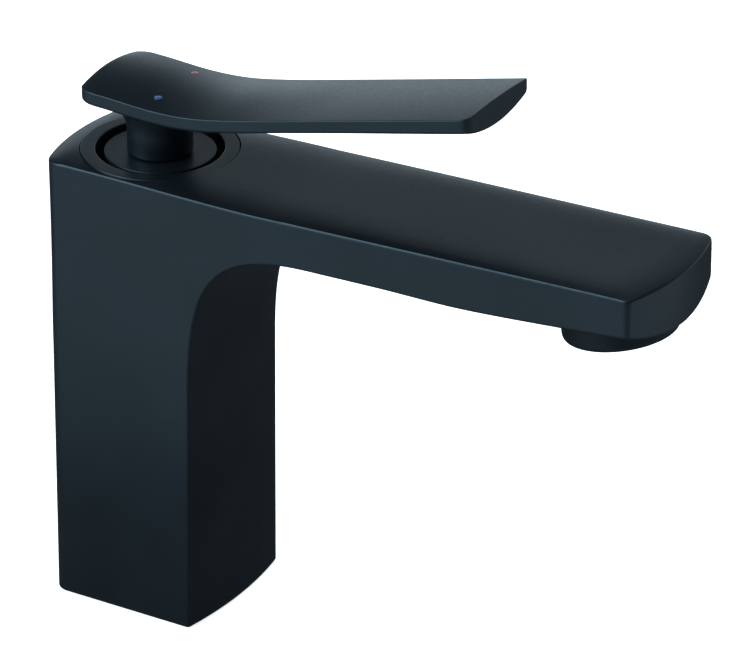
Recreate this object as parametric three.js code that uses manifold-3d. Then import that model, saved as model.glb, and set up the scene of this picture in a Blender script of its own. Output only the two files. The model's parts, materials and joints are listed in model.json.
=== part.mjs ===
// Single-lever basin mixer: a cast column with a flat spout, a 35 mm ceramic disc cartridge and a paddle lever.
// Millimetres, +Z up. The origin is on the deck, on the cartridge's axis, and the spout points along +X.
import * as THREE from "three";
import { mergeVertices } from "three/addons/utils/BufferGeometryUtils.js";
import Module from "manifold-3d";

const wasm = await Module();
wasm.setup();

const GAP = 0.3; // what touching pieces keep between them
const ROUND = 32; // sides of a large bore
const FINE = 20; // sides of a small one
const ACROSS = 12; // strips across a lofted face

// Column and spout
const SPOUT_END = 165.1; // x of the end face's corners
const END_BULGE = 4.1; // how far the end face stands out in its middle
const TOP_KINK = 45.4; // x where the level top starts to rise
const ARCH_FOOT = 76; // z where the column's front turns into the arch
const ARCH_HEAD = 62; // x where the arch turns into the spout's underside
const BACK_RADIUS = 3.5; // rounding of the column's back corners
const TOP_CORNER_X = -23.9; // back edge of the top face
const TOP_CORNER_Z = 137.9;
const CAVITY = 19; // half width of the hollow column
const SEAT = 100.5; // the cartridge stands on this face
const BLOCK = 88; // underside of the cast block that holds the ports
const CHAMBER_R = 17.8;
const CHAMBER_TOP = 123;
const THREAD_R = 20.2;

// Trim ring round the cartridge
const RING_Z = 139.2;
const RING_R = 22.8;
const RING_HOLE_R = 18.5;

// Cartridge
const PIVOT_Z = 130.3; // the lever tilts about this height
const PIN_R = 1.3;
const BALL_Z = 116.3; // the spindle's ball, which drags the moving disc
const PORTS = [
  { name: "cold", x: 3.5, y: -6, r: 2.6 },
  { name: "hot", x: 3.5, y: 6, r: 2.6 },
  { name: "outlet", x: -6, y: 0, r: 3.4 },
];
const HOUSING_R = 17.5;
const HOUSING_BORE = 15.6;
const NECK_R = 12.5;
const NECK_BORE = 11.2;
const SLIDE_REST = -3.05; // the moving disc's centre with the water shut off

// Lever
const LEVER_TAIL = -17.8;
const LEVER_TIP = 110.6;
const LEVER_HALF = 16.3;
const LEVER_EDGE = 3.8; // thickness along the sides
const HUB_R = 9.45;
const DISC_R = 16.07;
const DISC_Z = 138.3; // top of the disc that turns in the ring
const SPINDLE = 8; // square shank
const SCREW_Z = 143.5;
const DOT = { x: 5.9, y: 9.5, r: 1.2 };

// Aerator: its own frame stands on the centre of the outlet rim
const OUTLET = { x: 150.3, z: 119.9, tilt: 9.5 };
const COLLAR_R = 16.5;

const FINISH = {
  black: { color: 0x1b2024, roughness: 0.42, metalness: 0.35 },
  satin: { color: 0x14181b, roughness: 0.5, metalness: 0.3 },
  brass: { color: 0xb5935a, roughness: 0.35, metalness: 0.9 },
  steel: { color: 0xb9bcc0, roughness: 0.3, metalness: 0.95 },
  rubber: { color: 0x101011, roughness: 0.8, metalness: 0 },
  ceramic: { color: 0xe9e6df, roughness: 0.25, metalness: 0 },
  acetal: { color: 0xdcdedd, roughness: 0.5, metalness: 0 },
  cold: { color: 0x2f6fb5, roughness: 0.4, metalness: 0 },
  hot: { color: 0x8a4a44, roughness: 0.4, metalness: 0 },
};

// ---- Solids ----

function solid(geometry) {
  const bare = geometry.index ? geometry.toNonIndexed() : geometry.clone();
  bare.deleteAttribute("normal");
  bare.deleteAttribute("uv");
  const merged = mergeVertices(bare, 1e-3);
  return new wasm.Manifold(
    new wasm.Mesh({
      numProp: 3,
      vertProperties: new Float32Array(merged.attributes.position.array),
      triVerts: new Uint32Array(merged.index.array),
    }),
  );
}

function geometryOf(manifold) {
  const mesh = manifold.getMesh();
  const geometry = new THREE.BufferGeometry();
  geometry.setAttribute("position", new THREE.BufferAttribute(mesh.vertProperties, 3));
  geometry.setIndex(new THREE.BufferAttribute(mesh.triVerts, 1));
  geometry.computeVertexNormals();
  return geometry;
}

const cut = (body, ...tools) => tools.reduce((left, tool) => left.subtract(tool), body);
const join = (first, ...others) => others.reduce((sum, other) => sum.add(other), first);

// Upright cylinder from z0 to z1.
function post(r, z0, z1, x = 0, y = 0, sides = ROUND) {
  const geometry = new THREE.CylinderGeometry(r, r, z1 - z0, sides);
  geometry.rotateX(Math.PI / 2);
  geometry.translate(x, y, (z0 + z1) / 2);
  return solid(geometry);
}

// Cylinder along X or Y from a to b, at height z.
function bar(axis, r, a, b, z, sides = FINE) {
  const geometry = new THREE.CylinderGeometry(r, r, b - a, sides);
  if (axis === "x") geometry.rotateZ(-Math.PI / 2);
  const middle = (a + b) / 2;
  geometry.translate(axis === "x" ? middle : 0, axis === "y" ? middle : 0, z);
  return solid(geometry);
}

// Profile turned about Z: [radius, height] corners, listed with height rising on the outside.
function turned(profile, sides = ROUND) {
  const points = profile.map(([r, z]) => new THREE.Vector2(r, z));
  const onAxis = points[0].x === 0 && points[points.length - 1].x === 0;
  if (!onAxis) points.push(points[0].clone());
  const geometry = new THREE.LatheGeometry(points, sides);
  geometry.rotateX(Math.PI / 2);
  return solid(geometry);
}

// Plain ring with a square section.
function ring(inner, outer, z0, z1, sides = ROUND) {
  return turned([[inner, z0], [outer, z0], [outer, z1], [inner, z1]], sides);
}

function box(x0, x1, y0, y1, z0, z1) {
  const geometry = new THREE.BoxGeometry(x1 - x0, y1 - y0, z1 - z0);
  geometry.translate((x0 + x1) / 2, (y0 + y1) / 2, (z0 + z1) / 2);
  return solid(geometry);
}

// Side view [x, z] corners, extruded across Y to half each way.
function slab(corners, half) {
  const shape = new THREE.Shape(corners.map(([x, z]) => new THREE.Vector2(x, z)));
  const geometry = new THREE.ExtrudeGeometry(shape, { depth: 2 * half, bevelEnabled: false });
  geometry.rotateX(Math.PI / 2);
  geometry.translate(0, half, 0);
  return solid(geometry);
}

// Rounded rectangle in plan, extruded up from z0 to z1.
function roundedBlock(half, radius, z0, z1) {
  const shape = new THREE.Shape();
  const flat = half - radius;
  shape.moveTo(-flat, -half);
  shape.lineTo(flat, -half);
  shape.absarc(flat, -flat, radius, -Math.PI / 2, 0);
  shape.absarc(flat, flat, radius, 0, Math.PI / 2);
  shape.absarc(-flat, flat, radius, Math.PI / 2, Math.PI);
  shape.absarc(-flat, -flat, radius, Math.PI, 1.5 * Math.PI);
  const geometry = new THREE.ExtrudeGeometry(shape, {
    depth: z1 - z0,
    bevelEnabled: false,
    curveSegments: 6,
  });
  geometry.translate(0, 0, z0);
  return solid(geometry);
}

// Round tube core along a smooth path, for a cast passage.
function passage(points, r, sides = 10) {
  const path = new THREE.CatmullRomCurve3(points.map((p) => new THREE.Vector3(...p)));
  const section = new THREE.Shape();
  section.absarc(0, 0, r, 0, 2 * Math.PI);
  const geometry = new THREE.ExtrudeGeometry(section, {
    steps: 22,
    curveSegments: sides / 2,
    extrudePath: path,
  });
  return solid(geometry);
}

// Skin over equal closed sections. Each is a lower row of points and an upper row above it.
function loft(sections) {
  const count = sections[0].lower.length;
  const positions = [];
  sections.forEach(({ lower, upper }) => [...lower, ...upper].forEach((p) => positions.push(...p)));
  const low = (s, i) => 2 * count * s + i;
  const high = (s, i) => 2 * count * s + count + i;
  const faces = [];
  const quad = (a, b, c, d) => faces.push(a, b, c, a, c, d);
  const last = sections.length - 1;
  for (let s = 0; s < last; s++) {
    for (let i = 0; i < count - 1; i++) {
      quad(low(s, i), low(s, i + 1), low(s + 1, i + 1), low(s + 1, i));
      quad(high(s, i), high(s + 1, i), high(s + 1, i + 1), high(s, i + 1));
    }
    quad(low(s, 0), low(s + 1, 0), high(s + 1, 0), high(s, 0));
    quad(low(s, count - 1), high(s, count - 1), high(s + 1, count - 1), low(s + 1, count - 1));
  }
  for (let i = 0; i < count - 1; i++) {
    quad(low(0, i), high(0, i), high(0, i + 1), low(0, i + 1));
    quad(low(last, i), low(last, i + 1), high(last, i + 1), high(last, i));
  }
  const geometry = new THREE.BufferGeometry();
  geometry.setAttribute("position", new THREE.Float32BufferAttribute(positions, 3));
  geometry.setIndex(faces);
  const made = solid(geometry);
  if (made.volume() > 0) return made;
  for (let i = 0; i < faces.length; i += 3) faces.splice(i + 1, 2, faces[i + 2], faces[i + 1]);
  geometry.setIndex(faces);
  return solid(geometry);
}

// ---- Curves that shape the body ----

const mix = (a, b, t) => a + (b - a) * t;
const clamp01 = (t) => Math.min(1, Math.max(0, t));
const smooth = (a, b, x) => {
  const t = clamp01((x - a) / (b - a));
  return t * t * (3 - 2 * t);
};

// Half width of column and spout: it draws in slightly up the column and swells at the root of the spout.
function halfWidth(x, z) {
  const column = mix(24.2, 23.8, clamp01(z / 100));
  const top = 22.9 + 2.1 * smooth(TOP_CORNER_X, 45, x) - 0.6 * smooth(45, SPOUT_END, x);
  return mix(column, top, smooth(85, 128, z));
}

const backX = (z) => mix(-23.5, TOP_CORNER_X, smooth(95, TOP_CORNER_Z, z));
const frontX = (z) => 22.8 + (0.6 * z) / ARCH_FOOT;

// Height of the top face's edges.
function topEdge(x) {
  const kink = 138.9;
  if (x < TOP_KINK) return mix(TOP_CORNER_Z, kink, (x - TOP_CORNER_X) / (TOP_KINK - TOP_CORNER_X));
  return mix(kink, 142.7, (x - TOP_KINK) / (SPOUT_END - TOP_KINK));
}

const underside = new THREE.CatmullRomCurve3(
  [
    [ARCH_HEAD, 126.2],
    [88, 126.9],
    [112, 127.2],
    [141, 129.3],
    [SPOUT_END, 131.5],
  ].map(([x, z]) => new THREE.Vector3(x, 0, z)),
);
const arch = new THREE.CubicBezierCurve3(
  new THREE.Vector3(frontX(ARCH_FOOT), 0, ARCH_FOOT),
  new THREE.Vector3(frontX(ARCH_FOOT) + 0.2, 0, 112),
  new THREE.Vector3(33, 0, 125),
  new THREE.Vector3(ARCH_HEAD, 0, 126.2),
);

// The column's foot, the arch and the spout as pairs of points: one on the inside of the bend and one outside.
function bodyStations() {
  const stations = [];
  const columnSteps = 3;
  for (let i = 0; i < columnSteps; i++) {
    const z = (ARCH_FOOT * i) / columnSteps;
    stations.push({ inner: [frontX(z), z], outer: [backX(z), z], bow: 2.35, crown: 3, p: 2, along: 0 });
  }
  const archSteps = 14;
  const cornerStep = 6;
  for (let i = 0; i <= archSteps; i++) {
    const p = arch.getPoint(i / archSteps);
    const up = i / cornerStep;
    const z = mix(ARCH_FOOT, TOP_CORNER_Z, up);
    const x = mix(TOP_CORNER_X, ARCH_HEAD, (i - cornerStep) / (archSteps - cornerStep));
    const onBack = i <= cornerStep;
    stations.push({
      inner: [p.x, p.z],
      outer: onBack ? [backX(z), z] : [x, topEdge(x)],
      bow: 2.35,
      crown: onBack ? mix(3, 4, up) : 1,
      p: onBack ? 2 : 5,
      along: onBack ? -1 : 1,
    });
  }
  const spoutSteps = 12;
  for (let i = 1; i <= spoutSteps; i++) {
    const p = underside.getPoint(i / spoutSteps);
    const roll = 1 - clamp01((p.x - SPOUT_END + 10) / 10) ** 2.5;
    stations.push({
      inner: [p.x, p.z],
      outer: [p.x, topEdge(p.x)],
      bow: mix(2.35, 4.6, i / spoutSteps),
      crown: mix(1, 1.6, i / spoutSteps) * roll,
      p: 5,
      along: 1,
    });
  }
  return stations;
}

// One section of the body: its inner face bows outwards, its outer face is crowned, its back corners are rounded.
function bodySection({ inner, outer, bow, crown, p, along }) {
  const reach = Math.hypot(outer[0] - inner[0], outer[1] - inner[1]);
  const dir = [(outer[0] - inner[0]) / reach, (outer[1] - inner[1]) / reach];
  const lower = [];
  const upper = [];
  for (let i = 0; i <= ACROSS; i++) {
    const u = Math.sin((Math.PI / 2) * (-1 + (2 * i) / ACROSS));
    const wInner = halfWidth(...inner);
    const wOuter = halfWidth(...outer);
    const end = END_BULGE * smooth(115, SPOUT_END, inner[0]) * (1 - u * u);
    const out = crown * (1 - Math.abs(u) ** p);
    const side = Math.abs(u) * wOuter - (wOuter - BACK_RADIUS);
    const round = along < 1 && side > 0 ? BACK_RADIUS - Math.sqrt(BACK_RADIUS ** 2 - side ** 2) : 0;
    const bulge = bow * (1 - u * u);
    lower.push([inner[0] - dir[0] * bulge + end, u * wInner, inner[1] - dir[1] * bulge]);
    const sunk = round - out;
    const level = along === 1 ? [end, out] : [-dir[0] * sunk, 0];
    upper.push([outer[0] + level[0], u * wOuter, outer[1] + level[1]]);
  }
  return { lower, upper };
}

// ---- Pieces ----

function makeBody() {
  const skin = loft(bodyStations().map(bodySection));
  const ports = PORTS.filter((port) => port.name !== "outlet").flatMap((port) => [
    post(port.r, BLOCK - 1, SEAT + 1, port.x, port.y, FINE),
    post(4.6, BLOCK - 1, BLOCK + 8, port.x, port.y, FINE),
  ]);
  const outletPath = [
    [-6, 0, SEAT + 1],
    [-6.4, 1.6, 96.5],
    [-3.4, 10, 94.6],
    [3.6, 15.2, 94.6],
    [13, 16.4, 96],
    [16.8, 16.2, 104],
    [18.5, 15.8, 113],
    [27, 13, 123],
    [38, 9, 132.5],
  ];
  const spoutChannel = [
    [31, 130.6],
    [110, 131.6],
    [158, 134.6],
    [158, 138.6],
    [110, 137],
    [31, 135],
  ];
  const stud = post(3.4, BLOCK - 1, SEAT - 4, -13, -7, FINE);
  return cut(
    skin,
    roundedBlock(CAVITY, 5, -1, BLOCK),
    ...ports,
    stud,
    post(CHAMBER_R, SEAT, CHAMBER_TOP + 1),
    post(THREAD_R, CHAMBER_TOP, 142, 0, 0, 40),
    post(RING_R + 0.25, 137, 145, 0, 0, 48),
    passage(outletPath, 2.8),
    slab(spoutChannel, 15),
    inAeratorFrame(join(post(COLLAR_R + 0.3, -12, 9), post(12.1, 8, 16.5))),
  );
}

// Turns a solid built on the outlet's own axis into the part's frame.
function inAeratorFrame(made) {
  return made.rotate([0, -OUTLET.tilt, 0]).translate([OUTLET.x, 0, OUTLET.z]);
}

function makeTrimRing() {
  return turned([
    [RING_HOLE_R, 133.6],
    [19.9, 133.6],
    [19.9, 137.3],
    [RING_R, 137.3],
    [RING_R, RING_Z - 0.3],
    [RING_R - 0.3, RING_Z],
    [RING_HOLE_R + 0.3, RING_Z],
    [RING_HOLE_R, RING_Z - 0.3],
  ], 48);
}

function makeRetainingNut() {
  const threaded = post(THREAD_R - GAP, 123.4, 125.4, 0, 0, 40);
  const hexagon = post(19.4, 125.4, 128.8, 0, 0, 6);
  return cut(join(threaded, hexagon), post(13.3, 122, 130));
}

function makeHousing() {
  return turned([
    [HOUSING_BORE, 103.5],
    [HOUSING_R, 103.5],
    [HOUSING_R, 122],
    [NECK_R, 122],
    [NECK_R, 131.2],
    [NECK_BORE, 131.2],
    [NECK_BORE, 120.3],
    [HOUSING_BORE, 120.3],
  ]);
}

function portBores(z0, z1, extra = 0) {
  return PORTS.map((port) => post(port.r + extra, z0, z1, port.x, port.y, FINE));
}

function makeCartridgeBase() {
  const plug = turned([
    [0, 100.9],
    [17.4, 100.9],
    [17.4, 103.2],
    [15.3, 103.2],
    [15.3, 106.4],
    [0, 106.4],
  ]);
  return cut(plug, ...portBores(100, 107), ...portBores(100, 102.6, 1.7), ...portBores(104.8, 107, 1.7));
}

// Rubber rings round one port: one against the seat, one against the fixed disc.
function makeSeal(port, z0, z1) {
  return cut(post(port.r + 1.4, z0, z1, port.x, port.y, FINE), post(port.r + 0.1, z0 - 1, z1 + 1, port.x, port.y, FINE));
}

const makeFixedDisc = () => cut(post(14.8, 106.9, 109.5), ...portBores(106, 110));

function makeMovingDisc() {
  const disc = post(12, 109.8, 112.6, SLIDE_REST);
  return cut(disc, post(6, 109, 111.3, -5.5, 0, FINE));
}

function makeDiscCarrier() {
  return cut(post(11.8, 112.9, 118, SLIDE_REST), post(3.7, 113.8, 119, 0, 0, FINE));
}

// The bush turns in the housing's neck, and its slot lets the spindle swing fore and aft.
function makeRotor() {
  const blank = turned([
    [0, 118.3],
    [12.3, 118.3],
    [12.3, 120],
    [10.9, 120],
    [10.9, 132.2],
    [0, 132.2],
  ]);
  const slot = slab(
    [
      [-4.6, 117],
      [11.4, 117],
      [4.9, PIVOT_Z],
      [4.9, 133],
      [-6.4, 133],
      [-4.9, PIVOT_Z],
    ],
    SPINDLE / 2 + GAP,
  );
  return cut(blank, slot, bar("y", PIN_R + 0.08, -12, 12, PIVOT_Z));
}

const makeLimitRing = () => ring(12.6, 15.2, 118.3, 120);

function makePivotPin() {
  return bar("y", PIN_R, -10.7, 10.7, PIVOT_Z);
}

function makeSpindle() {
  const half = SPINDLE / 2;
  const shank = box(-half, half, -half, half, 125.5, 150);
  const tail = turned([
    [0, BALL_Z - 2.2],
    [1.8, BALL_Z - 2.2],
    [3.1, BALL_Z - 0.8],
    [3.1, BALL_Z + 0.8],
    [2.4, BALL_Z + 2],
    [2.4, 121],
    [3.6, 126],
    [0, 126],
  ], FINE);
  return cut(join(shank, tail), bar("y", PIN_R + 0.1, -12, 12, PIVOT_Z));
}

function makeHubDisc() {
  return cut(post(DISC_R, 136.8, DISC_Z, 0, 0, 48), post(5.9, 136, 139, 0, 0, FINE));
}

// Height of the lever's side edges: level over the hub, then a steady rise to the tip.
const leverEdge = new THREE.CatmullRomCurve3(
  [
    [LEVER_TAIL, 159.4],
    [-8, 159.1],
    [8, 158.4],
    [20, 159.1],
    [33, 161.5],
    [52, 166],
    [80, 172.8],
    [LEVER_TIP, 180.3],
  ].map(([x, z]) => new THREE.Vector3(x, 0, z)),
);

function leverSection(t) {
  const { x, z } = leverEdge.getPoint(t);
  const tail = clamp01((x - LEVER_TAIL) / 6);
  const half = LEVER_HALF - 4.5 * (1 - Math.sqrt(1 - (1 - tail) ** 2));
  const crown = 1.8 * (1 - smooth(20, 62, x));
  const thick = LEVER_EDGE + 0.3 * smooth(60, LEVER_TIP, x);
  const belly = mix(4.2, 1.9, smooth(12, 48, x)) + 1.2 * smooth(60, LEVER_TIP, x);
  const lower = [];
  const upper = [];
  for (let i = 0; i <= ACROSS; i++) {
    const u = -1 + (2 * i) / ACROSS;
    const across = 1 - u * u;
    upper.push([x, u * half, z + crown * across]);
    lower.push([x, u * half, z - thick - belly * across]);
  }
  return { lower, upper };
}

function makeLever() {
  const steps = [0, 0.006, 0.016, 0.03, 0.05, 0.09, 0.13, 0.17, 0.21, 0.25, 0.3, 0.36, 0.42, 0.5, 0.6, 0.7, 0.8, 0.9, 1];
  const paddle = loft(steps.map(leverSection));
  const flare = [];
  for (let i = 0; i <= 6; i++) {
    const a = ((Math.PI / 2) * i) / 6;
    flare.push([HUB_R + 6.2 * (1 - Math.cos(a)), 145.4 + 6 * Math.sin(a)]);
  }
  const hub = turned([[0, DISC_Z + GAP], [HUB_R, DISC_Z + GAP], ...flare, [15.65, 152.5], [0, 155]], 40);
  const socket = SPINDLE / 2 + GAP;
  return cut(
    join(paddle, hub),
    box(-socket, socket, -socket, socket, 130, 150.4),
    bar("x", 2.7, -20, 0, SCREW_Z),
    bar("x", 3.3, -20, -8, SCREW_Z),
    ...[-1, 1].map((side) => post(DOT.r + GAP, 158.6, 170, DOT.x, side * DOT.y, 16)),
  );
}

const makeDot = (side) => post(DOT.r, 158.9, 159.75, DOT.x, side * DOT.y, 16);
const makeSetScrew = () => cut(bar("x", 2.4, -7.4, -4.3, SCREW_Z, 16), bar("x", 1.3, -9, -5.6, SCREW_Z, 6));
const makeScrewPlug = () => bar("x", 3, -9.2, -8.0, SCREW_Z, 16);

function makeCollar() {
  return inAeratorFrame(
    turned([
      [10.2, 0],
      [COLLAR_R - 0.8, 0],
      [COLLAR_R, 0.8],
      [COLLAR_R, 8.6],
      [11.8, 8.6],
      [11.8, 15],
      [11.2, 15],
      [11.2, 1.4],
      [10.2, 1.4],
    ]),
  );
}

function makeAeratorCore() {
  const holes = [post(1.9, 0, 12, 0, 0, 8)];
  const around = 6;
  for (let i = 0; i < around; i++) {
    const a = (2 * Math.PI * i) / around;
    holes.push(post(1.9, 0, 12, 6.2 * Math.cos(a), 6.2 * Math.sin(a), 8));
  }
  return inAeratorFrame(cut(post(10.9, 1.7, 9.6), ...holes));
}

const makeAeratorScreen = () => inAeratorFrame(post(10.9, 9.9, 10.4));
const makeAeratorWasher = () => inAeratorFrame(ring(8.6, 10.9, 10.7, 12.8));

function makeBaseGasket() {
  return cut(roundedBlock(CAVITY - GAP, 4.7, 0, 2.2), roundedBlock(CAVITY - 4, 2, -1, 3));
}

// ---- Assembly ----

const mixer = new THREE.Group();

function add(name, manifold, finish) {
  const mesh = new THREE.Mesh(geometryOf(manifold), new THREE.MeshStandardMaterial(FINISH[finish]));
  mesh.name = name;
  mixer.add(mesh);
}

add("body", makeBody(), "black");
add("base_gasket", makeBaseGasket(), "rubber");
add("trim_ring", makeTrimRing(), "satin");
add("retaining_nut", makeRetainingNut(), "brass");
add("slip_washer", ring(13.2, 17.3, 122.3, 123.1), "acetal");
add("cartridge_housing", makeHousing(), "acetal");
add("cartridge_base", makeCartridgeBase(), "acetal");
PORTS.forEach((port) => {
  add(port.name + "_seat_seal", makeSeal(port, 100.6, 102.4), "rubber");
  add(port.name + "_disc_seal", makeSeal(port, 105, 106.7), "rubber");
});
add("fixed_disc", makeFixedDisc(), "ceramic");
add("moving_disc", makeMovingDisc(), "ceramic");
add("disc_carrier", makeDiscCarrier(), "acetal");
add("lever_rotor", makeRotor(), "acetal");
add("limit_ring", makeLimitRing(), "hot");
add("pivot_pin", makePivotPin(), "steel");
add("spindle", makeSpindle(), "brass");
add("lever_handle", makeLever(), "black");
add("hub_disc", makeHubDisc(), "satin");
add("set_screw", makeSetScrew(), "steel");
add("screw_plug", makeScrewPlug(), "rubber");
add("cold_dot", makeDot(-1), "cold");
add("hot_dot", makeDot(1), "hot");
add("aerator_collar", makeCollar(), "satin");
add("aerator_core", makeAeratorCore(), "acetal");
add("aerator_screen", makeAeratorScreen(), "steel");
add("aerator_washer", makeAeratorWasher(), "rubber");

export default mixer;
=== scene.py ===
"""Looks for a single-lever basin mixer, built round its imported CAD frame. Outlines are in millimetres."""

import json
import math

import bmesh
import bpy
from mathutils import Matrix, Vector


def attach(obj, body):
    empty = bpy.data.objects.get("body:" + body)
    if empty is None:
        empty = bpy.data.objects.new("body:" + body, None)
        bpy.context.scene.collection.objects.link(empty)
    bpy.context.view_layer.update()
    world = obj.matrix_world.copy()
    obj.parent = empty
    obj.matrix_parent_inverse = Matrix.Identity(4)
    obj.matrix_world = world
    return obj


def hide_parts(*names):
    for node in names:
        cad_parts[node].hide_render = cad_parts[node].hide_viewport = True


MM = 0.001
FAR = 1e3  # further than any rounding reaches
WELD = 0.002  # points closer than this become one
SHARP = 32  # edges with a larger angle, in degrees, stay sharp

# Body
FOOT_HALF, COLUMN_HALF = 24.2, 23.8  # half the column's width at the deck and higher up
FOOT_BACK_X, FOOT_FRONT_X = -23.5, 22.8
FRONT_LEAN = 0.6  # how much further out the front is at the arch's foot
FOOT_CROWN, HEAD_CROWN = 3, 4  # how far the column's back bows out, low and high
COLUMN_BOW, SPOUT_BOW = 2.35, 4.6  # how far the front and the underside bow out, low and at the end
BACK_X, BACK_Z = -23.9, 137.9  # back edge of the top
TOP_KINK, TOP_KINK_Z = 45.4, 138.9  # where the top begins to rise faster
SPOUT_END, SPOUT_END_Z = 165.1, 142.7
END_BULGE = 4.1  # how far the spout's end bows out
END_BEND = 3.25  # length of the bends round the spout's end
ARCH_FOOT = 76.0
ARCH_HEAD, ARCH_HEAD_Z = 62.0, 126.2
ARCH_TURN = 6 / 14  # the arch's parameter across from the back edge of the top
BACK_RADIUS = 3.5
TOP_EDGE = 0.5  # rounding of the top's edges
SIDE_ROLL = 2.6  # how far down the sides that rounding starts
LOW_EDGE = 0.7  # rounding of the column's front corners and the spout's lower edges
FOOT_EDGE = 0.5
NEAR_CORNER = 1.9  # upright corners of the spout's end
FAR_CORNER = 3.4
CORNER_TURN = math.radians(71)  # how far the outline turns there

# Trim ring, hub and cartridge chamber
RING_Z = 139.2
RING_R = 22.8
RING_HOLE_R = 18.5
RECESS_R = 23.05
RECESS_Z = 137.0
THREAD_R = 20.2
CHAMBER_R = 17.8
CHAMBER_TOP = 123.0
SEAT = 100.5  # floor of the chamber
DISC_R = 16.07
DISC_Z = 138.3
DISC_HOLE_R = 5.9
HUB_R = 9.45
HUB_FLARE = 6.2  # how much wider the hub gets under the blade
SCREW_Z = 143.5

# Hollow column, and the block that closes it
CAVITY_HALF, CAVITY_CORNER = 19, 5
BLOCK = 88.0
PORT_R, HOSE_R, STUD_R = 2.6, 4.6, 3.4
PORT_X, PORT_Y = 3.5, 6
STUD_X, STUD_Y = -13, -7

# Lever
LEVER_TAIL = -17.8
LEVER_TIP = 110.6
LEVER_HALF = 16.3
LEVER_THICK = 3.8
LEVER_SHOULDER = 0.8  # share of the half width that is spaced evenly
LEVER_LOW_EDGE, LEVER_TOP_EDGE = 0.8, 0.3  # rounding along the sides
TAIL_LOW_EDGE, TAIL_TOP_EDGE = 1.2, 0.9  # rounding at the tail
TIP_LOW_EDGE, TIP_TOP_EDGE = 0.7, 0.3  # rounding at the tip
TAIL_LENGTH, TAIL_INSET = 6.0, 4.5  # how the sides draw in towards the tail
TIP_NEAR_CORNER = 3.2
TIP_FAR_CORNER = 0.9
SOCKET_HALF, SOCKET_TOP = 4.3, 150.4
DOT_X, DOT_Y, DOT_R = 5.9, 9.5, 1.2
DOT_FLOOR, DOT_Z = 158.9, 159.55  # foot and rim of the dots

# Outlet: its own frame stands on the centre of the rim
OUTLET_X, OUTLET_Z = 150.3, 119.9
OUTLET_TILT = math.radians(9.5)
COLLAR_R = 16.5
SCREEN_Z = 10.15

# Strips across a lofted section
SHOULDER_STEPS = 6
MIDDLE_STEPS = 22
ARC_STEPS = 5
WALL_POINTS = 6

# Finishes and light
BLACK = (0.0048, 0.0070, 0.0092)
SHEEN = (0.60, 0.85, 1.0, 1)
NOISE_LOW, NOISE_HIGH = 0.3, 0.7  # noise outputs lie mostly between these
LAMP_COLOR = (0.77, 0.91, 1.0)


# ---- Curves ----


def mix(a, b, t):
    return a + (b - a) * t


def clamp01(t):
    return min(1.0, max(0.0, t))


def smooth(a, b, x):
    t = clamp01((x - a) / (b - a))
    return t * t * (3 - 2 * t)


def spline(points):
    """Centripetal Catmull-Rom curve through (x, z) points, as a function of 0 to 1."""
    knots = [Vector(p) for p in points]
    knots = [2 * knots[0] - knots[1], *knots, 2 * knots[-1] - knots[-2]]

    def at(t):
        spans = len(knots) - 3
        span = min(int(t * spans), spans - 1)
        w = t * spans - span
        p0, p1, p2, p3 = knots[span : span + 4]
        d0, d1, d2 = (p1 - p0).length ** 0.5, (p2 - p1).length ** 0.5, (p3 - p2).length ** 0.5
        m1 = ((p1 - p0) / d0 - (p2 - p0) / (d0 + d1) + (p2 - p1) / d1) * d1
        m2 = ((p2 - p1) / d1 - (p3 - p1) / (d1 + d2) + (p3 - p2) / d2) * d1
        cubic = 2 * (p1 - p2) + m1 + m2
        return p1 + m1 * w + (3 * (p2 - p1) - 2 * m1 - m2) * w**2 + cubic * w**3

    return at


def bezier(a, b, c, d):
    """Cubic curve with those four control points, as a function of 0 to 1."""
    a, b, c, d = Vector(a), Vector(b), Vector(c), Vector(d)
    return lambda t: a * (1 - t) ** 3 + b * 3 * (1 - t) ** 2 * t + c * 3 * (1 - t) * t * t + d * t**3


def place_of(curve, x):
    """The curve's parameter where it passes x."""
    low, high = 0.0, 1.0
    for _ in range(40):
        middle = (low + high) / 2
        low, high = (middle, high) if curve(middle).x < x else (low, middle)
    return low


def arc(a, corner, b, steps=ARC_STEPS):
    """The points between a and b on the arc that rounds off the corner."""
    points = []
    for i in range(1, steps):
        t = i / steps
        wa, wc, wb = (1 - t) ** 2, math.sqrt(2) * t * (1 - t), t * t
        points.append((a * wa + corner * wc + b * wb) / (wa + wc + wb))
    return points


def drop(radius, depth, turn=math.pi / 2):
    """How far a rounded edge has fallen back, depth before the end that it rounds into."""
    if depth >= radius * math.sin(turn):
        return 0.0
    return radius * (1 - math.sqrt(1 - (math.sin(turn) - depth / radius) ** 2))


def closing(length, steps):
    """Distances left to an end, from length to 0, closer together as the end comes."""
    return [length * (1 - math.sin(math.pi / 2 * i / steps)) ** 1.5 for i in range(steps + 1)]


# ---- Mesh tools ----


def finished(name, bm, sharp=SHARP):
    """An object from a mesh in millimetres, shaded smooth across every edge below that many degrees."""
    bmesh.ops.remove_doubles(bm, verts=bm.verts, dist=WELD)
    bmesh.ops.recalc_face_normals(bm, faces=bm.faces)
    bmesh.ops.scale(bm, vec=(MM, MM, MM), verts=bm.verts)
    mesh = bpy.data.meshes.new(name)
    bm.to_mesh(mesh)
    bm.free()
    piece = bpy.data.objects.new(name, mesh)
    bpy.context.scene.collection.objects.link(piece)
    mesh.shade_smooth()
    mesh.set_sharp_from_angle(angle=math.radians(sharp))
    return piece


def bridge(bm, one, two):
    """Faces from one closed ring of points to the next."""
    for i in range(len(one)):
        bm.faces.new((one[i - 1], one[i], two[i], two[i - 1]))


def add_prism(bm, outline, z0, z1):
    low = [bm.verts.new((x, y, z0)) for x, y in outline]
    high = [bm.verts.new((x, y, z1)) for x, y in outline]
    bm.faces.new(low[::-1])
    bm.faces.new(high)
    bridge(bm, low, high)


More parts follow.
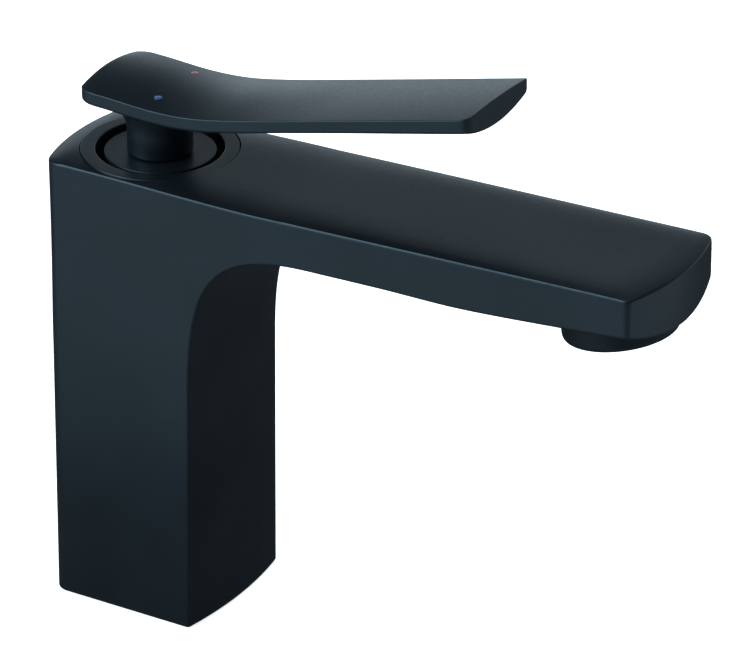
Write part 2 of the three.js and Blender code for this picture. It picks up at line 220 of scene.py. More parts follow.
def skin(sections):
    """Closed skin over sections, each a lower and an upper row of equally many points."""
    bm = bmesh.new()
    rows = [[[bm.verts.new(p) for p in row] for row in section] for section in sections]
    for (low, high), (low2, high2) in zip(rows, rows[1:]):
        bridge(bm, low + high[::-1], low2 + high2[::-1])
    for low, high in (rows[0], rows[-1]):
        for i in range(1, len(low)):
            bm.faces.new((low[i - 1], low[i], high[i], high[i - 1]))
    return bm


def section(lower, upper, low_row, high_row, low_reach, high_reach):
    """Both rows of a section with rounded corners. low_reach and high_reach say how far they go along the
    walls."""
    low, high = list(low_row), list(high_row)
    for side, end in ((-1, 0), (1, -1)):
        low_corner, high_corner = lower(side), upper(side)
        up = (high_corner - low_corner).normalized()
        start, stop = low_corner + up * low_reach, high_corner - up * high_reach
        if high_reach == 0:
            stop = high_row[end]
        wall = [start.lerp(stop, i / (WALL_POINTS - 1)) for i in range(WALL_POINTS)]
        half = WALL_POINTS // 2
        low_end = wall[:half][::-1] + arc(start, low_corner, low_row[end])
        bend = arc(stop, high_corner, high_row[end]) if high_reach else [stop] * (ARC_STEPS - 1)
        high_end = wall[half:] + bend
        low = low_end + low if side < 0 else low + low_end[::-1]
        high = high_end + high if side < 0 else high + high_end[::-1]
    return low, high


def across(inset, shoulder):
    """Places from -1 to 1 across a face that stops short of its corners by inset, with closer steps outside
    the shoulders."""
    left = [mix(inset - 1, -shoulder, i / SHOULDER_STEPS) for i in range(SHOULDER_STEPS)]
    middle = [mix(-shoulder, shoulder, i / MIDDLE_STEPS) for i in range(MIDDLE_STEPS + 1)]
    return left + middle + [-u for u in left[::-1]]


def eased(profile, radius, steps=4):
    """The profile of (radius, height) corners with each corner rounded."""
    points = [Vector(p) for p in profile]
    made = []
    for i, p in enumerate(points):
        if p.x < 1e-6:
            made.append(p)
            continue
        before, after = points[i - 1] - p, points[(i + 1) % len(points)] - p
        reach = min(radius, before.length * 0.45, after.length * 0.45)
        a, b = p + before.normalized() * reach, p + after.normalized() * reach
        made += [a, *arc(a, p, b, steps), b]
    return made


def turned(name, profile, sides=96, centre=(0, 0)):
    """A profile turned about an upright axis. It closes on the axis, or on itself."""
    bm = bmesh.new()
    rings = []
    for r, z in profile:
        count = sides if r > 1e-6 else 1
        turns = [2 * math.pi * i / sides for i in range(count)]
        x, y = centre
        rings.append([bm.verts.new((x + r * math.cos(a), y + r * math.sin(a), z)) for a in turns])
    if len(rings[0]) > 1:
        rings.append(rings[0])
    for one, two in zip(rings, rings[1:]):
        for i in range(sides):
            corners = [one[i - 1], one[i]] if len(one) > 1 else [one[0]]
            corners += [two[i], two[i - 1]] if len(two) > 1 else [two[0]]
            if len(corners) > 2:
                bm.faces.new(corners)
    return finished(name, bm)


def post(name, r, z0, z1, centre=(0, 0), sides=48):
    return turned(name, [(0, z0), (r, z0), (r, z1), (0, z1)], sides, centre)


def prism(name, outline, z0, z1):
    bm = bmesh.new()
    add_prism(bm, outline, z0, z1)
    return finished(name, bm)


def rounded_square(half, radius, steps=8):
    outline = []
    flat = half - radius
    for quarter, (x, y) in enumerate(((1, -1), (1, 1), (-1, 1), (-1, -1))):
        for i in range(steps + 1):
            a = math.pi / 2 * (quarter - 1 + i / steps)
            outline.append((x * flat + radius * math.cos(a), y * flat + radius * math.sin(a)))
    return outline


def lay_along_x(piece, z):
    """Turns a piece that was built upright about the Z axis so that its top faces -X, at height z."""
    turn = Matrix.Rotation(-math.pi / 2, 4, "Y")
    piece.data.transform(Matrix.Translation((0, 0, z * MM)) @ turn)
    return piece


def at_outlet(piece):
    """Moves a piece from the outlet's own frame to the part's."""
    turn = Matrix.Rotation(-OUTLET_TILT, 4, "Y")
    piece.data.transform(Matrix.Translation((OUTLET_X * MM, 0, OUTLET_Z * MM)) @ turn)
    return piece


def settle(piece):
    """Applies the piece's modifiers."""
    graph = bpy.context.evaluated_depsgraph_get()
    mesh = bpy.data.meshes.new_from_object(piece.evaluated_get(graph), depsgraph=graph)
    piece.modifiers.clear()
    piece.data = mesh


def combine(piece, operation, *tools):
    """Cuts piece with the tools, or joins them to it. The tools are used up."""
    for tool in tools:
        modifier = piece.modifiers.new(tool.name, "BOOLEAN")
        modifier.operation = operation
        modifier.solver = "MANIFOLD"
        modifier.object = tool
    settle(piece)
    for tool in tools:
        bpy.data.objects.remove(tool)


def shade(piece):
    """Smooth shading led by the large faces, so that a flat stays flat beside a small rounding."""
    piece.data.shade_smooth()
    piece.data.set_sharp_from_angle(angle=math.radians(SHARP))
    modifier = piece.modifiers.new("shading", "WEIGHTED_NORMAL")
    modifier.keep_sharp = True
    settle(piece)


def mount(piece, body, slot, node, finish=None):
    """Puts the piece on its CAD body in place of the node, in its slot's finish unless another is named."""
    piece.data.materials.clear()
    piece.data.materials.append(FINISH[finish or slot])
    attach(piece, body)
    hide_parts(node)


# ---- Body ----


def half_width(x, z):
    column = mix(FOOT_HALF, COLUMN_HALF, clamp01(z / 100))
    top = 22.9 + 2.1 * smooth(BACK_X, 45, x) - 0.6 * smooth(45, SPOUT_END, x)
    return mix(column, top, smooth(85, 128, z))


def back_x(z):
    return mix(FOOT_BACK_X, BACK_X, smooth(95, BACK_Z, z))


def front_x(z):
    return FOOT_FRONT_X + FRONT_LEAN * z / ARCH_FOOT


def top_z(x):
    if x < TOP_KINK:
        return mix(BACK_Z, TOP_KINK_Z, (x - BACK_X) / (TOP_KINK - BACK_X))
    return mix(TOP_KINK_Z, SPOUT_END_Z, (x - TOP_KINK) / (SPOUT_END - TOP_KINK))


def end_bulge(x):
    return END_BULGE * smooth(115, SPOUT_END, x)


ARCH = bezier(
    (front_x(ARCH_FOOT), ARCH_FOOT),
    (front_x(ARCH_FOOT) + 0.2, 112),
    (33, 125),
    (ARCH_HEAD, ARCH_HEAD_Z),
)
UNDERSIDE = spline(
    [(ARCH_HEAD, ARCH_HEAD_Z), (88, 126.9), (112, 127.2), (141, 129.3), (SPOUT_END, 131.5)],
)
SHOULDER = 1 - BACK_RADIUS / COLUMN_HALF


def inner_face(at, way, bow, to_end=FAR, to_foot=FAR):
    """The face on the inside of the bend, as a function of -1 to 1 across it."""
    x, z = at
    wide = half_width(x, z)
    foot = drop(FOOT_EDGE, to_foot)
    bulge = end_bulge(x)

    def face(u):
        corner = drop(FAR_CORNER if u > 0 else NEAR_CORNER, to_end, CORNER_TURN)
        y = u * (wide - foot - corner)
        share = 1 - (y / wide) ** 2
        out = bow * share - foot - drop(LOW_EDGE, to_end)
        return Vector((x - way.x * out + bulge * share, y, z - way.y * out))

    return face


def back_face(at, crown, to_foot=FAR):
    x, z = at
    wide = half_width(x, z)
    foot = drop(FOOT_EDGE, to_foot)

    def face(u):
        y = u * (wide - foot)
        return Vector((x - crown * (1 - (y / wide) ** 2) + foot, y, z))

    return face


def top_face(x, crown, to_end=FAR):
    z = top_z(x)
    wide = half_width(x, z)
    bulge = end_bulge(x)
    power = mix(5, 9, smooth(40, 110, x))  # the flat widens along the spout

    def face(u):
        corner = drop(FAR_CORNER if u > 0 else NEAR_CORNER, to_end, CORNER_TURN)
        y = u * (wide - corner)
        rise = crown * (1 - abs(y / wide) ** power) - drop(TOP_EDGE, to_end)
        return Vector((x + bulge * (1 - (y / wide) ** 2), y, z + rise))

    return face


def back_row(face):
    """The back's row of points, bent round both back corners."""
    middle = [face(mix(-SHOULDER, SHOULDER, i / MIDDLE_STEPS)) for i in range(MIDDLE_STEPS + 1)]
    ends = []
    for side, start in ((-1, middle[0]), (1, middle[-1])):
        corner = face(side)
        wall = corner + Vector((BACK_RADIUS, 0, 0))
        ends.append([wall, *arc(wall, corner, start, SHOULDER_STEPS)])
    return ends[0] + middle + ends[1][::-1]


def column_section(inner, outer, crown, to_foot=FAR):
    way = (Vector(outer) - Vector(inner)).normalized()
    lower, upper = inner_face(inner, way, COLUMN_BOW, to_foot=to_foot), back_face(outer, crown, to_foot)
    low_row = [lower(u) for u in across(LOW_EDGE / COLUMN_HALF, SHOULDER)]
    return section(lower, upper, low_row, back_row(upper), LOW_EDGE, 0)


def spout_section(inner, x, bow, crown, to_end=FAR):
    way = (Vector((x, top_z(x))) - Vector(inner)).normalized()
    lower, upper = inner_face(inner, way, bow, to_end), top_face(x, crown, to_end)
    low_row = [lower(u) for u in across(LOW_EDGE / COLUMN_HALF, SHOULDER)]
    high_row = [upper(u) for u in across(TOP_EDGE / COLUMN_HALF, SHOULDER)]
    return section(lower, upper, low_row, high_row, LOW_EDGE, SIDE_ROLL)


def outward(row):
    """Level normals of a row that runs round the back, pointing away from the part."""
    normals = []
    for i in range(len(row)):
        run = row[min(i + 1, len(row) - 1)] - row[max(i - 1, 0)]
        normals.append(Vector((-run.y, run.x, 0)).normalized())
    normals[0], normals[-1] = Vector((0, -1, 0)), Vector((0, 1, 0))
    return normals


def back_edge_sections():
    """The column's last section, carried over the rounded back edge onto the top."""
    low, high = column_section(ARCH(ARCH_TURN), (BACK_X, BACK_Z - TOP_EDGE), HEAD_CROWN)
    wall, bend = WALL_POINTS // 2, ARC_STEPS - 1
    row = high[wall + bend : len(high) - wall - bend]
    normals = outward(row)
    normals = [normals[0]] * (wall + bend) + normals + [normals[-1]] * (wall + bend)
    step = math.pi / 2 / ARC_STEPS
    rise = [0.0] * wall + [step * i for i in range(1, ARC_STEPS)]
    limits = rise + [math.pi / 2] * len(row) + rise[::-1]
    sections = []
    for i in range(ARC_STEPS + 1):
        angles = [min(step * i, limit) for limit in limits]
        moves = [Vector((0, 0, math.sin(a))) - n * (1 - math.cos(a)) for a, n in zip(angles, normals)]
        sections.append((low, [p + TOP_EDGE * move for p, move in zip(high, moves)]))
    return sections


def between(one, two, t):
    """A section part of the way from one to two, whose upper row rises early."""
    low = [a.lerp(b, t) for a, b in zip(one[0], two[0])]
    high = []
    for a, b in zip(one[1], two[1]):
        p = a.lerp(b, t)
        p.z = mix(a.z, b.z, 1 - (1 - t) ** 2)
        high.append(p)
    return low, high


def column_sections():
    """From the deck up to the back edge of the top."""
    sections = []
    for z in closing(FOOT_EDGE, 4)[::-1]:
        sections.append(column_section((front_x(z), z), (back_x(z), z), FOOT_CROWN, to_foot=z))
    for i in range(1, 13):
        z = mix(FOOT_EDGE, ARCH_FOOT, i / 12)
        sections.append(column_section((front_x(z), z), (back_x(z), z), FOOT_CROWN))
    for i in range(1, 12):
        up = i / 12
        z = mix(ARCH_FOOT, BACK_Z, up)
        crown = mix(FOOT_CROWN, HEAD_CROWN, up)
        sections.append(column_section(ARCH(up * ARCH_TURN), (back_x(z), z), crown))
    return sections


def bend_sections(edge):
    """From the back edge of the top, whose last section is edge, to the arch's head."""
    sections = []
    for i in range(1, 17):
        x = mix(BACK_X, ARCH_HEAD, i / 16)
        sections.append(spout_section(ARCH(mix(ARCH_TURN, 1, i / 16)), x, COLUMN_BOW, 1))
    return [between(edge, sections[0], t) for t in (0.2, 0.4, 0.6, 0.8)] + sections


def spout_sections():
    """From the arch's head to the spout's end, where the crown fades and the edges bend round."""
    root = SPOUT_END - END_BEND
    places = [(mix(ARCH_HEAD, root, i / 34), FAR) for i in range(1, 34)]
    places += [(SPOUT_END - left, left) for left in closing(END_BEND, 14)]
    sections = []
    for x, left in places:
        t = place_of(UNDERSIDE, x)
        fade = 1 - clamp01((x - SPOUT_END + 10) / 10) ** 2.5
        bow, crown = mix(COLUMN_BOW, SPOUT_BOW, t), mix(1, 0.8, t) * fade
        sections.append(spout_section(UNDERSIDE(t), x, bow, crown, left))
    return sections


def column_tools():
    """What is cut from the column: the cartridge's chamber, the cavity, and the holes in the block."""
    chamber = [(0, SEAT), (CHAMBER_R, SEAT), (CHAMBER_R, CHAMBER_TOP), (THREAD_R, CHAMBER_TOP)]
    chamber += [(THREAD_R, RECESS_Z), (RECESS_R, RECESS_Z), (RECESS_R, 145), (0, 145)]
    cavity = rounded_square(CAVITY_HALF, CAVITY_CORNER)
    tools = [turned("chamber", chamber, 192), prism("cavity", cavity, -1, BLOCK)]
    for y in (-PORT_Y, PORT_Y):
        tools.append(post("port", PORT_R, BLOCK - 1, SEAT + 1, (PORT_X, y)))
        tools.append(post("hose_thread", HOSE_R, BLOCK - 1, BLOCK + 8, (PORT_X, y)))
    tools.append(post("stud", STUD_R, BLOCK - 1, SEAT - 4, (STUD_X, STUD_Y)))
    return tools


def outlet_tool():
    """What is cut from the spout's end: room for the collar and for its neck."""
    outer, inner = COLLAR_R + 0.3, 12.1
    profile = [(0, -12), (outer, -12), (outer, 9), (inner, 9), (inner, 16.5), (0, 16.5)]
    return at_outlet(turned("outlet", profile, 128))


def make_body():
    sections = column_sections() + back_edge_sections()
    sections += bend_sections(sections[-1]) + spout_sections()
    body = finished("body_casting", skin(sections))
    combine(body, "DIFFERENCE", *column_tools(), outlet_tool())
    shade(body)
    mount(body, "fixed", "black_body", "body")


# ---- Ring, disc and lever ----


def make_trim_ring():
    neck_r, neck_z, flange_z = 19.9, 133.6, 137.3
    profile = [(RING_HOLE_R, neck_z), (neck_r, neck_z), (neck_r, flange_z)]
    profile += [(RING_R, flange_z), (RING_R, RING_Z), (RING_HOLE_R, RING_Z)]
    ring = turned("trim_ring_turned", eased(profile, 0.35), 192)
    shade(ring)
    mount(ring, "fixed", "black_trim", "trim_ring")


def make_hub_disc():
    low = DISC_Z - 1.5
    profile = [(DISC_HOLE_R, low), (DISC_R, low), (DISC_R, DISC_Z), (DISC_HOLE_R, DISC_Z)]
    disc = turned("hub_disc_turned", eased(profile, 0.3), 192)
    shade(disc)
    mount(disc, "lever", "black_trim", "hub_disc")


LEVER_TAIL_LINE = [(LEVER_TAIL, 159.4), (-8, 159.1), (8, 158.4), (20, 159.1)]
LEVER_BLADE_LINE = [(33, 161.5), (52, 166), (80, 172.8), (LEVER_TIP, 180.3)]
LEVER_LINE = spline(LEVER_TAIL_LINE + LEVER_BLADE_LINE)  # its upper edges, seen from the side


def lever_edge(x):
    return LEVER_LINE(place_of(LEVER_LINE, x)).y


def lever_half(x):
    tail = clamp01((x - LEVER_TAIL) / TAIL_LENGTH)
    return LEVER_HALF - TAIL_INSET * (1 - math.sqrt(1 - (1 - tail) ** 2))


def lever_bottom(x, y):
    tipward = smooth(60, LEVER_TIP, x)
    thick = LEVER_THICK + 0.3 * tipward
    belly = mix(4.2, 1.9, smooth(12, 48, x)) + 1.2 * tipward
    return lever_edge(x) - thick - belly * (1 - (y / lever_half(x)) ** 2)


def lever_top(x, y):
    crown = mix(1.8, 0.7, smooth(20, 62, x))
    return lever_edge(x) + crown * (1 - (y / lever_half(x)) ** 2)


def lever_section(x):
    to_tail, to_tip = x - LEVER_TAIL, LEVER_TIP - x
    half = lever_half(x)
    near, far = half - drop(TIP_NEAR_CORNER, to_tip), half - drop(TIP_FAR_CORNER, to_tip)
    sunk = drop(TAIL_TOP_EDGE, to_tail) + drop(TIP_TOP_EDGE, to_tip)
    raised = drop(TAIL_LOW_EDGE, to_tail) + drop(TIP_LOW_EDGE, to_tip)

    def lower(u):
        y = u * (near if u < 0 else far)
        return Vector((x, y, lever_bottom(x, y) + raised))

    def upper(u):
        y = u * (near if u < 0 else far)
        return Vector((x, y, lever_top(x, y) - sunk))

    low_row = [lower(u) for u in across(LEVER_LOW_EDGE / LEVER_HALF, LEVER_SHOULDER)]
    high_row = [upper(u) for u in across(LEVER_TOP_EDGE / LEVER_HALF, LEVER_SHOULDER)]
    return section(lower, upper, low_row, high_row, LEVER_LOW_EDGE, LEVER_TOP_EDGE)


def hub_rings(turns):
    """Rings of (radius, height), one pair for each turn, from the hub's foot up into the blade."""
    foot, chamfer = DISC_Z + 0.3, 0.3
    stem = [(0, foot), (HUB_R - chamfer, foot), (HUB_R, foot + chamfer), (HUB_R, 142)]
    rings = [[(r, z)] * len(turns) for r, z in stem]
    rim, flare_steps = HUB_R + HUB_FLARE, 16
    tops = [lever_bottom(rim * math.cos(a), rim * math.sin(a)) for a in turns]
    for i in range(flare_steps + 1):
        a = math.pi / 2 * i / flare_steps
        r = HUB_R + HUB_FLARE * (1 - math.cos(a))
        rings.append([(r, mix(145.4, top + 0.1, math.sin(a))) for top in tops])
    rings.append([(rim, top + 0.8) for top in tops])
    rings.append([(0, 155)] * len(turns))
    return rings


def make_hub():
    """The lever's round hub, whose flare runs out into the underside all round."""
    sides = 128
    turns = [2 * math.pi * i / sides for i in range(sides)]
    bm = bmesh.new()
    rings = []
    for ring in hub_rings(turns):
        points = [(r * math.cos(a), r * math.sin(a), z) for (r, z), a in zip(ring, turns)]
        rings.append([bm.verts.new(p) for p in points])
    for one, two in zip(rings, rings[1:]):
        bridge(bm, one, two)
    return finished("hub", bm)


def lever_places():
    """Where the lever's sections stand, closer together towards both ends."""
    start, stop = LEVER_TAIL + TAIL_LENGTH, LEVER_TIP - TIP_NEAR_CORNER
    places = [LEVER_TAIL + left for left in closing(TAIL_LENGTH, 14)[::-1]]
    places += [mix(start, stop, i / 64) for i in range(1, 64)]
    places += [LEVER_TIP - left for left in closing(TIP_NEAR_CORNER, 10)]
    return places


def lever_tools():
    """What is cut from the lever: the spindle's socket, the screw's stepped hole and the dots' pockets."""
    h = SOCKET_HALF
    tools = [prism("socket", [(h, -h), (h, h), (-h, h), (-h, -h)], 130, SOCKET_TOP)]
    tools.append(lay_along_x(post("screw_thread", 2.7, 0, 20), SCREW_Z))
    tools.append(lay_along_x(post("plug_seat", 3.12, 8, 20), SCREW_Z))
    for y in (-DOT_Y, DOT_Y):
        tools.append(post("dot_pocket", DOT_R + 0.05, DOT_FLOOR - 0.2, 170, (DOT_X, y)))
    return tools


def make_lever():
    lever = finished("lever_paddle", skin([lever_section(x) for x in lever_places()]))
    combine(lever, "UNION", make_hub())
    combine(lever, "DIFFERENCE", *lever_tools())
    shade(lever)
    mount(lever, "lever", "black_body", "lever_handle")


def make_dot(name, side, slot):
    """Enamel let into the lever, with a slightly raised face."""
    profile = [(0, DOT_FLOOR), (DOT_R, DOT_FLOOR)]
    for i in range(7):
        a = math.pi / 2 * i / 6
        profile.append((DOT_R * math.cos(a), DOT_Z + 0.2 * math.sin(a)))
    dot = turned(name + "_enamel", profile, 48, (DOT_X, side * DOT_Y))
    mount(dot, "lever", slot, name)


def make_screw_plug():
    """Rubber button at the back of the hub, domed, with a dimple to lift it out by."""
    profile = eased([(0, 8.0), (3.0, 8.0), (3.0, 9.0), (1.1, 9.2), (0.7, 8.95), (0, 8.9)], 0.25)
    plug = lay_along_x(turned("screw_plug_button", profile, 48), SCREW_Z)
    mount(plug, "lever", "rubber", "screw_plug")


# ---- Outlet and foot ----


def make_collar():
    corners = [  # radius, height, rounding
        (10.2, 0, 0.3),
        (COLLAR_R, 0, 1.7),
        (COLLAR_R, 8.6, 0.2),
        (11.8, 8.6, 0.1),
        (11.8, 15, 0.2),
        (11.2, 15, 0.2),
        (11.2, 1.4, 0.1),
        (10.2, 1.4, 0.2),
    ]
    points = [Vector((r, z)) for r, z, _ in corners]
    profile = []
    for i, (p, (_, _, reach)) in enumerate(zip(points, corners)):
        a = p + (points[i - 1] - p).normalized() * reach
        b = p + (points[(i + 1) % len(points)] - p).normalized() * reach
        profile += [a, *arc(a, p, b, 8), b]
    collar = at_outlet(turned("aerator_collar_turned", profile, 160))
    shade(collar)
    # the collar takes a darker, less glossy copy of its slot's satin black: painted shade for the spout's
    # shadow above it
    mount(collar, "fixed", "black_trim", "aerator_collar", finish="collar_painted_shade_black")


def hexagon(x, y, radius):
    turns = [math.pi / 3 * i for i in range(6)]
    return [Vector((x, y)) + radius * Vector((math.sin(a), math.cos(a))) for a in turns]


def make_aerator_core():
    """Flow straightener: a disc bored right through by a honeycomb."""
    radius, pitch, wall = 10.9, 2.2, 0.4
    core = turned("aerator_honeycomb", eased([(0, 1.7), (radius, 1.7), (radius, 9.6), (0, 9.6)], 0.3), 96)
    cells = bmesh.new()
    for row in range(-5, 6):
        for column in range(-5, 6):
            x, y = pitch * (column + row % 2 / 2), pitch * row * math.sqrt(0.75)
            if math.hypot(x, y) > radius - pitch / 2 - 0.5:
                continue
            add_prism(cells, hexagon(x, y, (pitch - wall) / math.sqrt(3)), 0, 12)
    combine(core, "DIFFERENCE", finished("cells", cells))
    at_outlet(core)
    shade(core)
    mount(core, "fixed", "aerator_plastic", "aerator_core")


def make_screen():
    """Woven wires, each passing over and under the ones that it crosses."""
    radius, pitch, wire, weave, sides = 10.6, 1.0, 0.12, 0.11, 6
    bm = bmesh.new()
    for turn in (0, 1):
        for line in range(-10, 11):
            half = math.sqrt(radius**2 - (line * pitch) ** 2)
            steps = max(4, int(half * 4 / pitch))
            rings = []
            for i in range(steps + 1):
                along = mix(-half, half, i / steps)
                lift = weave * math.cos(math.pi * (along / pitch + line + turn))
                ring = []
                for k in range(sides):
                    a = 2 * math.pi * k / sides
                    p = (along, line * pitch + wire * math.cos(a), SCREEN_Z + lift + wire * math.sin(a))
                    ring.append(bm.verts.new((-p[1], p[0], p[2]) if turn else p))
                rings.append(ring)
            for one, two in zip(rings, rings[1:]):
                bridge(bm, one, two)
            bm.faces.new(rings[0])
            bm.faces.new(rings[-1][::-1])
    screen = at_outlet(finished("aerator_mesh", bm, 60))
    mount(screen, "fixed", "steel", "aerator_screen")


def make_gasket():
    """Soft square ring in the column's mouth."""
    inner, outer, height = 15, 18.7, 2.2
    bm = bmesh.new()
    rings = []
    for half, z in eased([(inner, 0), (outer, 0), (outer, height), (inner, height)], 0.6):
        outline = rounded_square(half, 2 + (half - inner) * 0.73)
        rings.append([bm.verts.new((x, y, z)) for x, y in outline])
    for one, two in zip(rings, [*rings[1:], rings[0]]):
        bridge(bm, one, two)
    gasket = finished("base_gasket_moulded", bm)
    shade(gasket)
    mount(gasket, "fixed", "rubber", "base_gasket")


# ---- Finishes ----


def shader(name, color, roughness, metallic=0.0, **more):
    """A material and its Principled shader, with those values on its own sockets."""
    material = bpy.data.materials.new(name)
    material.use_nodes = True
    surface = material.node_tree.nodes["Principled BSDF"]
    surface.inputs["Base Color"].default_value = (*color, 1)
    surface.inputs["Roughness"].default_value = roughness
    surface.inputs["Metallic"].default_value = metallic
    for socket, value in more.items():
        surface.inputs[socket.replace("_", " ")].default_value = value
    return material, surface


def noise(material, per_metre, detail=2.0, stretch=(1, 1, 1)):
    """Noise fixed to the piece, with that many grains to the metre. Returns its 0 to 1 output."""
    nodes, links = material.node_tree.nodes, material.node_tree.links
    place = nodes.new("ShaderNodeTexCoord")
    mapping = nodes.new("ShaderNodeMapping")
    mapping.inputs["Scale"].default_value = stretch
    grain = nodes.new("ShaderNodeTexNoise")
    grain.inputs["Scale"].default_value = per_metre
    grain.inputs["Detail"].default_value = detail
    links.new(place.outputs["Object"], mapping.inputs["Vector"])
    links.new(mapping.outputs["Vector"], grain.inputs["Vector"])
    return grain.outputs["Fac"]


def spread(material, source, low, high):
    """A noise output stretched over low to high."""
    scale = material.node_tree.nodes.new("ShaderNodeMapRange")
    scale.inputs["From Min"].default_value = NOISE_LOW
    scale.inputs["From Max"].default_value = NOISE_HIGH
    scale.inputs["To Min"].default_value = low
    scale.inputs["To Max"].default_value = high
    material.node_tree.links.new(source, scale.inputs["Value"])
    return scale.outputs["Result"]


def tint(material, source, low, high):
    """A noise output turned to colours from low to high."""
    ramp = material.node_tree.nodes.new("ShaderNodeValToRGB")
    ramp.color_ramp.elements[0].position = NOISE_LOW
    ramp.color_ramp.elements[0].color = (*low, 1)
    ramp.color_ramp.elements[1].position = NOISE_HIGH
    ramp.color_ramp.elements[1].color = (*high, 1)
    material.node_tree.links.new(source, ramp.inputs["Fac"])
    return ramp.outputs["Color"]


def bumps(material, surface, *layers):
    """Layers of (noise output, height in metres) that stand on each other."""
    nodes, links = material.node_tree.nodes, material.node_tree.links
    normal = None
    for source, height in layers:
        bump = nodes.new("ShaderNodeBump")
        bump.inputs["Distance"].default_value = height
        bump.inputs["Strength"].default_value = 1.0
        links.new(source, bump.inputs["Height"])
        if normal:
            links.new(normal, bump.inputs["Normal"])
        normal = bump.outputs["Normal"]
    links.new(normal, surface.inputs["Normal"])


def satin_black(name, color, roughness, peel, gloss=0.5):
    """Powder coat: a fine grain on a film that rolls by peel metres, with a slate cast in its sheen."""
    material, surface = shader(name, color, roughness, Specular_Tint=SHEEN, Specular_IOR_Level=gloss)
    links = material.node_tree.links
    film, grain, cloud = noise(material, 900), noise(material, 5200, 1.0), noise(material, 35, 3.0)
    dark, light = [c * 0.8 for c in color], [c * 1.2 for c in color]
    links.new(tint(material, cloud, dark, light), surface.inputs["Base Color"])
    links.new(spread(material, film, roughness - 0.03, roughness + 0.03), surface.inputs["Roughness"])
    bumps(material, surface, (film, peel), (grain, 2.5e-6))
    return material


def machined(name, color, roughness, rings=1600):
    """Turned or drawn metal, with fine tool marks round the upright axis."""
    material, surface = shader(name, color, roughness, 1.0)
    marks, cloud = noise(material, rings, 2.0, (0.15, 0.15, 1)), noise(material, 120, 3.0)
    dark = [c * 0.82 for c in color]
    material.node_tree.links.new(tint(material, cloud, dark, color), surface.inputs["Base Color"])
    low, high = roughness - 0.06, roughness + 0.08
    material.node_tree.links.new(spread(material, marks, low, high), surface.inputs["Roughness"])
    bumps(material, surface, (marks, 4e-6))
    return material


def moulded(name, color, roughness, grain=2400, height=4e-6, **more):
    """Moulded plastic, rubber or ceramic: an even skin with a fine grain and faint clouds of colour."""
    material, surface = shader(name, color, roughness, **more)
    fine, cloud = noise(material, grain), noise(material, 90, 3.0)
    dark = [c * 0.88 for c in color]
    material.node_tree.links.new(tint(material, cloud, dark, color), surface.inputs["Base Color"])
    low, high = roughness - 0.04, roughness + 0.04
    material.node_tree.links.new(spread(material, fine, low, high), surface.inputs["Roughness"])
    bumps(material, surface, (fine, height))
    return material


def finishes():
    return {
        "black_body": satin_black("satin_black", BLACK, 0.40, 12e-6),
        "black_trim": satin_black("satin_black_turned", BLACK, 0.38, 8e-6),
        # painted shade: the trim's satin black with half the gloss and more roughness, so the collar looks
        # shaded by the spout
        "collar_painted_shade_black": satin_black("satin_black_painted_shade", (0.005, 0.007, 0.009), 0.46, 8e-6, 0.25),
        "brass": machined("bare_brass", (0.62, 0.47, 0.22), 0.32),
        "steel": machined("stainless", (0.55, 0.56, 0.58), 0.28),
        "rubber": moulded("black_rubber", (0.018, 0.018, 0.019), 0.72, 3000, 8e-6),
        "seal_rubber": moulded("greased_rubber", (0.03, 0.03, 0.032), 0.45, 3000, 3e-6),
        "ceramic": moulded("lapped_ceramic", (0.85, 0.83, 0.78), 0.18, 6000, 0.6e-6),
        "acetal": moulded("white_acetal", (0.72, 0.73, 0.72), 0.42, 1800),
        "aerator_plastic": moulded("grey_acetal", (0.55, 0.56, 0.56), 0.4, 1800),
        "limit_red": moulded("red_acetal", (0.45, 0.06, 0.05), 0.4, 1800),
        "cold_enamel": moulded("blue_enamel", (0.025, 0.075, 0.17), 0.25, 2500, 2e-6, Coat_Weight=0.4),
        "hot_enamel": moulded("red_enamel", (0.17, 0.075, 0.07), 0.25, 2500, 2e-6, Coat_Weight=0.4),
    }


def finish_inner_nodes(frame):
    """Gives each CAD node that still shows its own slot's finish."""
    for row in frame["record"]["subparts"]:
        node = frame["nodes"][row["node"]]
        if not node.hide_render:
            node.data.materials.clear()
            node.data.materials.append(FINISH[row["material_slot"]])


# ---- Scene ----


def make_floor():
    """Pale floor that glows a little, so that the shadow on it stays faint. Nothing mirrors it."""
    bpy.ops.mesh.primitive_plane_add(size=8, location=(0, 0, -0.3 * MM))
    floor = bpy.context.object
    floor.name = "studio_floor"
    material, surface = shader("floor_paint", (0.8, 0.8, 0.8), 0.9)
    surface.inputs["Emission Color"].default_value = (1, 1, 1, 1)
    surface.inputs["Emission Strength"].default_value = 0.8
    floor.data.materials.append(material)
    floor.visible_glossy = False


def panel(name, place, aim, size, radiance, glossy=True):
    """Soft panel light at place, facing aim. radiance is how bright the panel itself looks."""
    light = bpy.data.lights.new(name, "AREA")
    light.shape = "RECTANGLE"
    light.size, light.size_y = size
    light.color = LAMP_COLOR
    light.energy = radiance * math.pi * size[0] * size[1]
    lamp = bpy.data.objects.new(name, light)
    lamp.location = place
    lamp.rotation_euler = (Vector(aim) - Vector(place)).to_track_quat("-Z", "Y").to_euler()
    lamp.visible_camera = False
    lamp.visible_glossy = glossy
    bpy.context.scene.collection.objects.link(lamp)


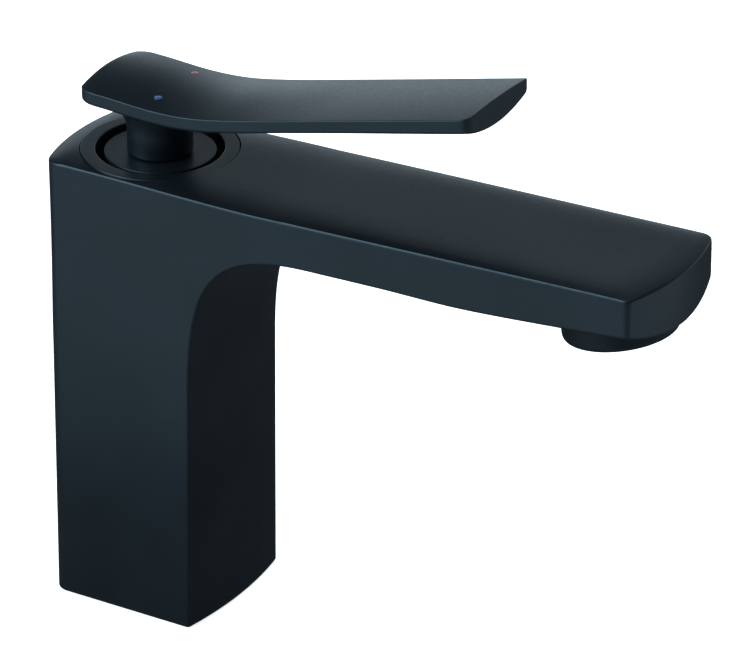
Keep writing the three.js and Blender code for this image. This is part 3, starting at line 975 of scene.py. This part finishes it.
def make_lights():
    panel("overhead", (0, 0.75, 1.3), (0.05, 0, 0.14), (1.2, 1.0), 5.2, glossy=False)
    panel("behind", (-0.2, 1.3, 0.3), (-0.2, 0, 0.3), (3.2, 0.62), 0.95)
    panel("horizon", (-1.4, 1.25, 0.3), (0.06, 0, 0.17), (1.3, 0.36), 1.1)
    panel("key", (-0.65, -0.9, 0.9), (0.06, 0, 0.12), (1.1, 1.2), 5.5)
    panel("front_bounce", (-0.28, -0.53, 0.002), (-0.28, -0.53, 1), (1.1, 0.82), 0.62)
    panel("end_bounce", (0.55, 0.14, 0.002), (0.55, 0.14, 1), (0.46, 0.66), 0.68)
    world = bpy.data.worlds.new("studio")
    world.use_nodes = True
    background = world.node_tree.nodes["Background"]
    background.inputs["Color"].default_value = (0.8, 0.9, 1, 1)
    background.inputs["Strength"].default_value = 0.05
    bpy.context.scene.world = world


def make_camera():
    """A long lens above the spout's end, on its -Y side."""
    azimuth, elevation, distance = math.radians(31.1), math.radians(26.92), 1.69233
    target = Vector((0.0685, 0, 0.09998))
    level = math.cos(elevation)
    way = Vector((math.sin(azimuth) * level, -math.cos(azimuth) * level, math.sin(elevation)))
    camera = bpy.data.objects.new("camera", bpy.data.cameras.new("camera"))
    camera.data.sensor_width = 36
    camera.data.lens = 294.7
    camera.location = target + way * distance
    camera.rotation_euler = (-way).to_track_quat("-Z", "Y").to_euler()
    bpy.context.scene.collection.objects.link(camera)
    bpy.context.scene.camera = camera


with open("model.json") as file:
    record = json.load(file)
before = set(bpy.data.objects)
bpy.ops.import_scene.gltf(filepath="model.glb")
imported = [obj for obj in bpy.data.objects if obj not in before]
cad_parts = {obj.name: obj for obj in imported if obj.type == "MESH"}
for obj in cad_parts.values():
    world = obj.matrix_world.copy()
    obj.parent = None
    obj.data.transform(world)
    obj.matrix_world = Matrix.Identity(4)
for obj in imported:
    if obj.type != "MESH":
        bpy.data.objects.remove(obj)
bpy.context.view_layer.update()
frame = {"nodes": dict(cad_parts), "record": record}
FINISH = finishes()

make_body()
make_trim_ring()
make_hub_disc()
make_lever()
make_dot("cold_dot", -1, "cold_enamel")
make_dot("hot_dot", 1, "hot_enamel")
make_screw_plug()
make_collar()
make_aerator_core()
make_screen()
make_gasket()
finish_inner_nodes(frame)
make_floor()
make_lights()
make_camera()
bpy.context.scene.view_settings.view_transform = "Standard"
